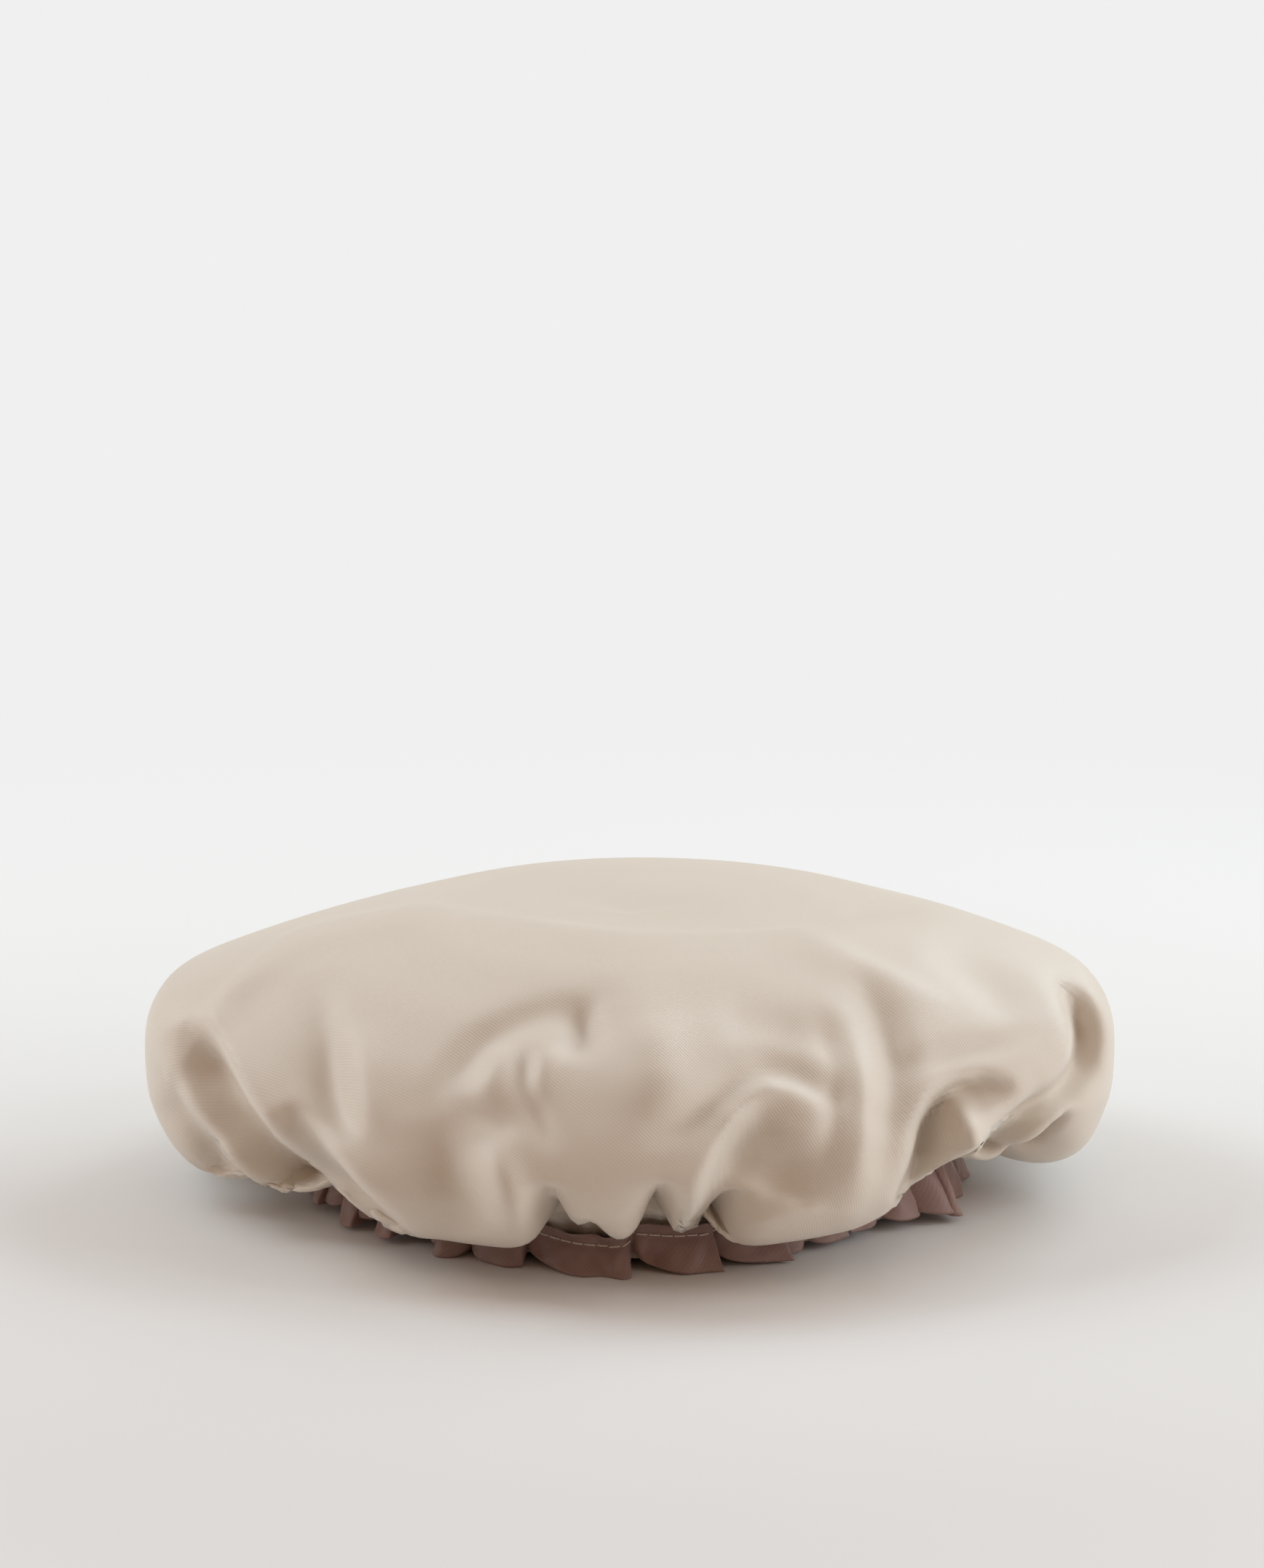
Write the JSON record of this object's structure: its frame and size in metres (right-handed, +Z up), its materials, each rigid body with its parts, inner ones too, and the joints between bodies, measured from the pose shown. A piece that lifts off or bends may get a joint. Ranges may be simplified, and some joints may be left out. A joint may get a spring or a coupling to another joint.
{
  "type": "shower cap",
  "caption": "Puffed satin shower cap with a waterproof lining and a gathered elastic edge in a contrasting folded casing.",
  "frame": {"origin": "on the floor, on the axis of the elastic ring, under the middle of the crown", "axes": "+Z up through the crown; the pictured front faces -Y; +X is to the right of that view"},
  "size_m": [0.275, 0.251, 0.078],
  "materials": {
    "cream_satin": "fine satin weave with a soft sheen",
    "frosted_film": "frosted waterproof film, softly wrinkled",
    "mauve_satin": "satin ribbon, gathered",
    "knit_elastic": "ribbed knitted elastic",
    "pale_thread": "twisted sewing thread"
  },
  "bodies": {
    "root": {"outer_shell": "cream_satin", "waterproof_lining": "frosted_film", "edge_casing": "mauve_satin", "elastic_band": "knit_elastic", "topstitch_thread": "pale_thread", "bobbin_thread": "pale_thread"}
  },
  "joints": []
}
